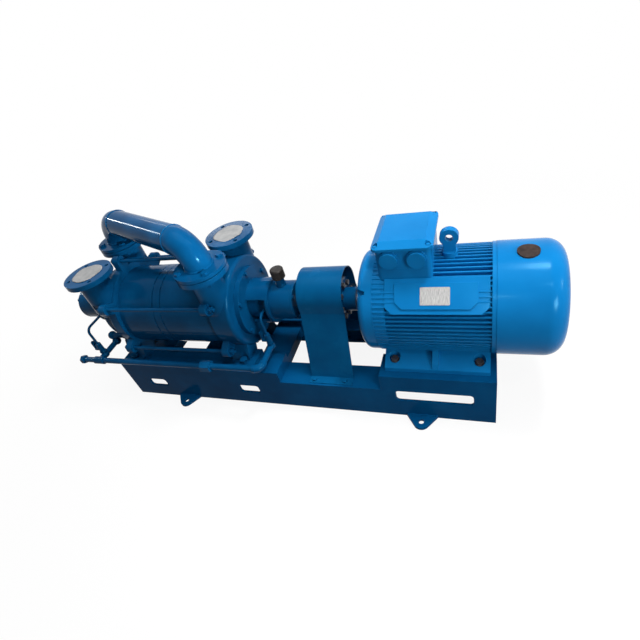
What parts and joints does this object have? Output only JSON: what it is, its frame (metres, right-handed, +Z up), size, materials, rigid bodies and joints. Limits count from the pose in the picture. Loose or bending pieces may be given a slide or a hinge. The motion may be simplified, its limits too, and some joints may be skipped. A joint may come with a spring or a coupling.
{
  "type": "liquid ring vacuum pump",
  "caption": "Liquid ring vacuum pump in stages, with flanged ports and a crossover pipe, coupled to a finned motor on a channel base.",
  "frame": {"origin": "centre of the four anchor holes, on the floor", "axes": "+X along the shaft from the pump to the motor, +Z up, -Y towards the sealing water header"},
  "size_m": [2.158, 0.5838, 0.868],
  "materials": {
    "base_paint": "gloss",
    "pump_paint": "gloss",
    "motor_paint": "satin",
    "cast_iron": "machined",
    "steel": "machined",
    "dark_steel": "blackened",
    "bronze": "cast",
    "fan_alloy": "cast",
    "rubber": "matte",
    "packing": "braided",
    "black_plastic": "satin",
    "cup_metal": "dull",
    "brown_plastic": "satin"
  },
  "bodies": {
    "base": {"near_side_channel": "base_paint", "far_side_channel": "base_paint", "cross_channels": "base_paint", "end_plates": "base_paint", "anchor_lugs": "base_paint", "drive_end_cover": "pump_paint", "first_cylinder": "pump_paint", "middle_plate": "pump_paint", "second_cylinder": "pump_paint", "rear_end_cover": "pump_paint", "tie_rods": "pump_paint", "tie_rod_nuts": "pump_paint", "drive_bracket": "pump_paint", "rear_bracket": "pump_paint", "bearing_covers": "pump_paint", "crossover_pipe": "pump_paint", "crossover_bolts": "pump_paint", "water_header": "pump_paint", "sealing_tubes": "pump_paint", "coupling_guard": "pump_paint", "motor_frame": "motor_paint", "drive_shield": "motor_paint", "rear_shield": "motor_paint", "fan_cowl": "motor_paint", "terminal_box": "motor_paint", "terminal_cover": "motor_paint", "gland_plugs": "motor_paint", "lifting_eye": "motor_paint", "first_port_plate": "cast_iron", "second_port_plate": "cast_iron", "stator_core": "cast_iron", "motor_bearings": "steel", "pump_bearings": "steel", "gland_studs": "steel", "machine_bolts": "steel", "terminal_screws": "steel", "guard_bolts": "steel", "motor_foot_bolts": "dark_steel", "pump_foot_bolts": "dark_steel", "glands": "bronze", "sealing_cocks": "bronze", "crossover_gaskets": "rubber", "packing_rings": "packing", "grease_cups": "cup_metal", "cowl_plug": "brown_plastic"},
    "pump_rotor": {"pump_shaft": "steel", "shaft_sleeves": "steel", "first_impeller": "bronze", "second_impeller": "bronze", "pump_coupling_half": "cast_iron"},
    "motor_rotor": {"motor_shaft": "steel", "rotor_core": "cast_iron", "cooling_fan": "fan_alloy", "motor_coupling_half": "cast_iron", "coupling_pins": "steel", "coupling_bushes": "rubber"},
    "drive_cap": {"drive_cup_cap": "black_plastic"},
    "rear_cap": {"rear_cup_cap": "black_plastic"},
    "drive_handle": {"drive_cock_handle": "black_plastic"},
    "rear_handle": {"rear_cock_handle": "black_plastic"}
  },
  "joints": [
    {"name": "pump_spin", "type": "hinge", "parent": "base", "child": "pump_rotor", "pos_m": [-0.49, 0, 0.435], "axis": [1, 0, 0], "continuous": true},
    {"name": "motor_spin", "type": "hinge", "parent": "base", "child": "motor_rotor", "pos_m": [0.635, 0, 0.435], "axis": [1, 0, 0], "continuous": true},
    {"name": "drive_cap_turn", "type": "hinge", "parent": "base", "child": "drive_cap", "pos_m": [0.0185, 0, 0.56], "axis": [0, 0, 1], "range_deg": [0, 360]},
    {"name": "rear_cap_turn", "type": "hinge", "parent": "base", "child": "rear_cap", "pos_m": [-1.0375, 0, 0.545], "axis": [0, 0, 1], "range_deg": [0, 360]},
    {"name": "drive_cock_turn", "type": "hinge", "parent": "base", "child": "drive_handle", "pos_m": [-0.0645, -0.12, 0.312], "axis": [1, 0, 0], "range_deg": [0, 90]},
    {"name": "rear_cock_turn", "type": "hinge", "parent": "base", "child": "rear_handle", "pos_m": [-0.9525, -0.213, 0.312], "axis": [1, 0, 0], "range_deg": [0, 90]}
  ],
  "couplings": [
    {"joint": "motor_spin", "follows": "pump_spin", "ratio": 1}
  ]
}
